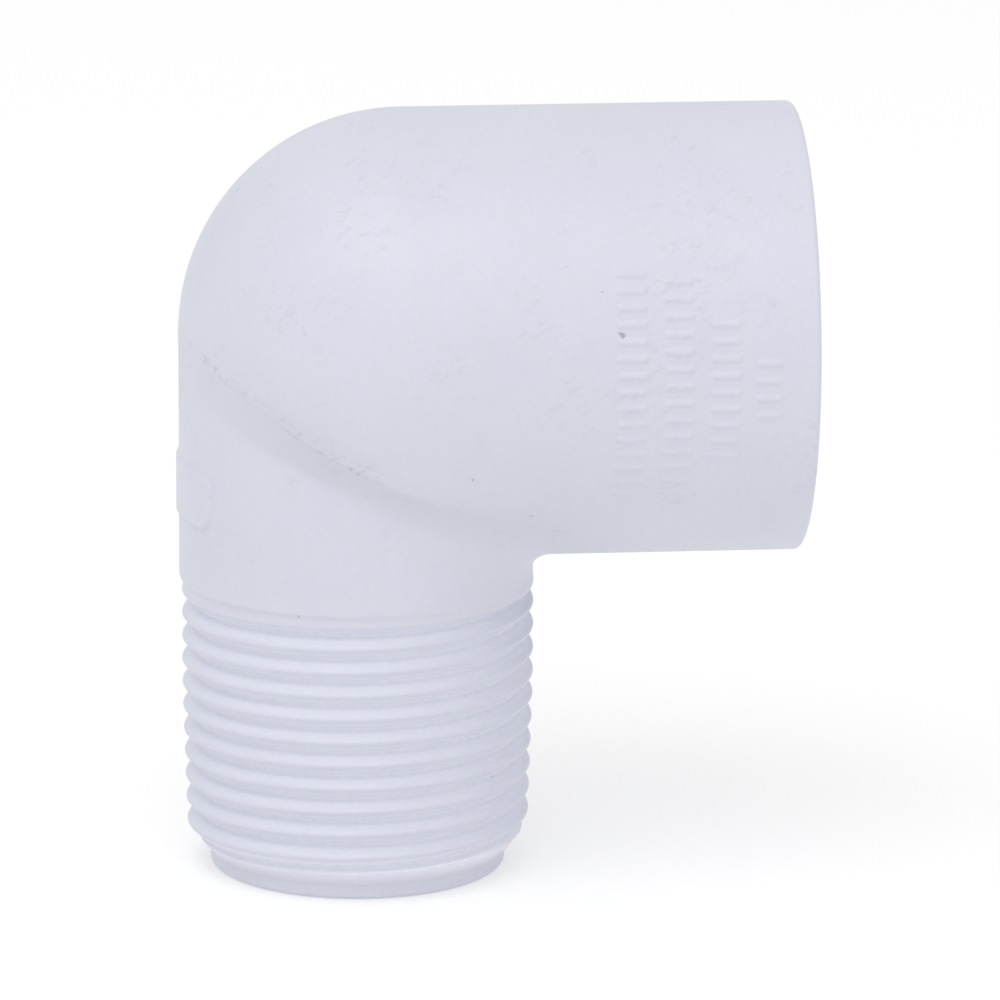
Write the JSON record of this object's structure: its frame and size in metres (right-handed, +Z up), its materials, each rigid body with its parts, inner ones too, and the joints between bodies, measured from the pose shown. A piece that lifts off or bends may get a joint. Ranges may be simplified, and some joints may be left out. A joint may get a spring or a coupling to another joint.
{
  "type": "pvc elbow fitting",
  "caption": "Right-angle pipe elbow in white plastic with a tapered male thread on one end and a wider female threaded hub on the other.",
  "frame": {"origin": "under the middle of the fitting's bounding box, in the plane of the male spigot's end; the spigot axis is at x = -9.675 mm and the hub axis at z = 41.3 mm, both at y = 0.1 mm", "axes": "+Z up along the spigot axis, from the spigot's end to the bend; +X along the hub axis, out of the hub's face; -Y faces the side with the raised bars"},
  "size_m": [0.0468, 0.0342, 0.0583],
  "materials": {
    "white_pvc_hub": "moulded rigid PVC, bluish white, satin",
    "white_pvc_bend": "moulded rigid PVC, bluish white, satin, faint scuffs",
    "white_pvc_spigot": "moulded rigid PVC, bluish white, satin"
  },
  "bodies": {
    "root": {"threaded_hub": "white_pvc_hub", "elbow_bend": "white_pvc_bend", "threaded_spigot": "white_pvc_spigot"}
  },
  "joints": []
}
